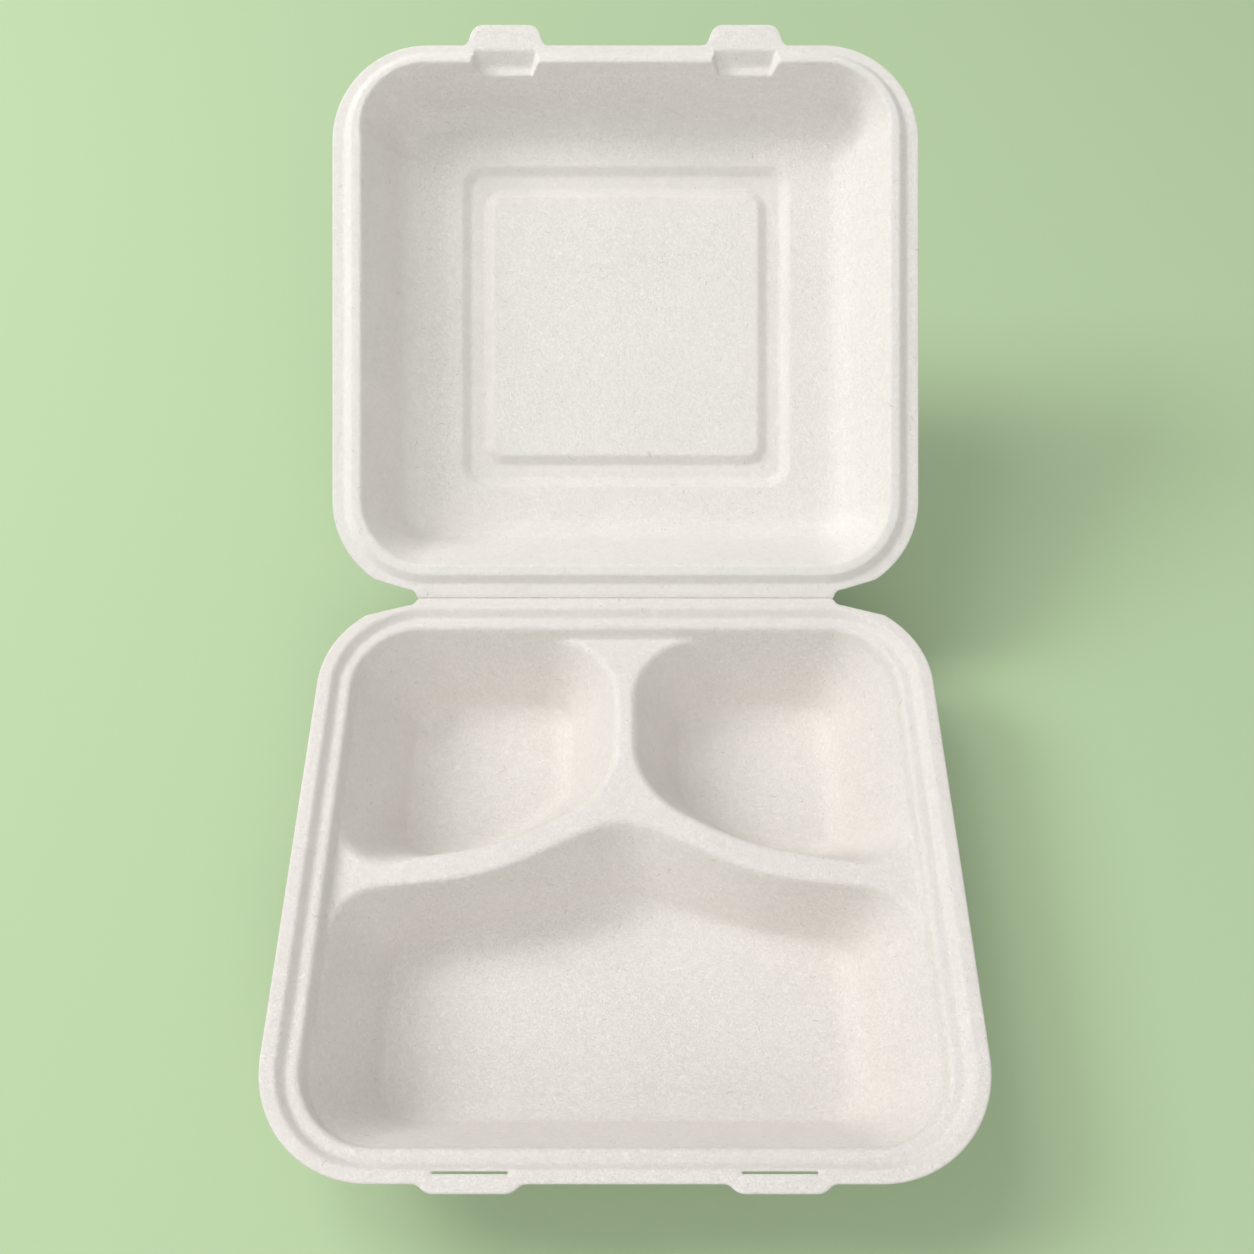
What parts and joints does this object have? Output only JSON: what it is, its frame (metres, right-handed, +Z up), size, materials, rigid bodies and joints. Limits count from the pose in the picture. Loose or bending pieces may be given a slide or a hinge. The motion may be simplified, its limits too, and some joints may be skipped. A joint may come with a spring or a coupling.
{
  "type": "biodegradable clamshell box",
  "caption": "Open hinged takeaway box of moulded plant fibre, with a three-compartment tray, a vaulted lid, two lid tabs and two slits that hold it shut.",
  "frame": {"origin": "on the table, under the middle of the open box's bounding box", "axes": "+X to the right seen from the front, +Y from the tray towards the raised lid, +Z up"},
  "size_m": [0.2296, 0.4018, 0.1716],
  "materials": {
    "tray_fibre": "matt pressed fibre",
    "lid_fibre": "matt pressed fibre"
  },
  "bodies": {
    "tray_body": {"tray": "tray_fibre"},
    "lid_body": {"lid": "lid_fibre"}
  },
  "joints": [
    {"name": "lid_fold", "type": "hinge", "parent": "tray_body", "child": "lid_body", "pos_m": [0, 0.01745, 0.045], "axis": [1, 0, 0], "range_deg": [-34.7, 145.3]}
  ]
}
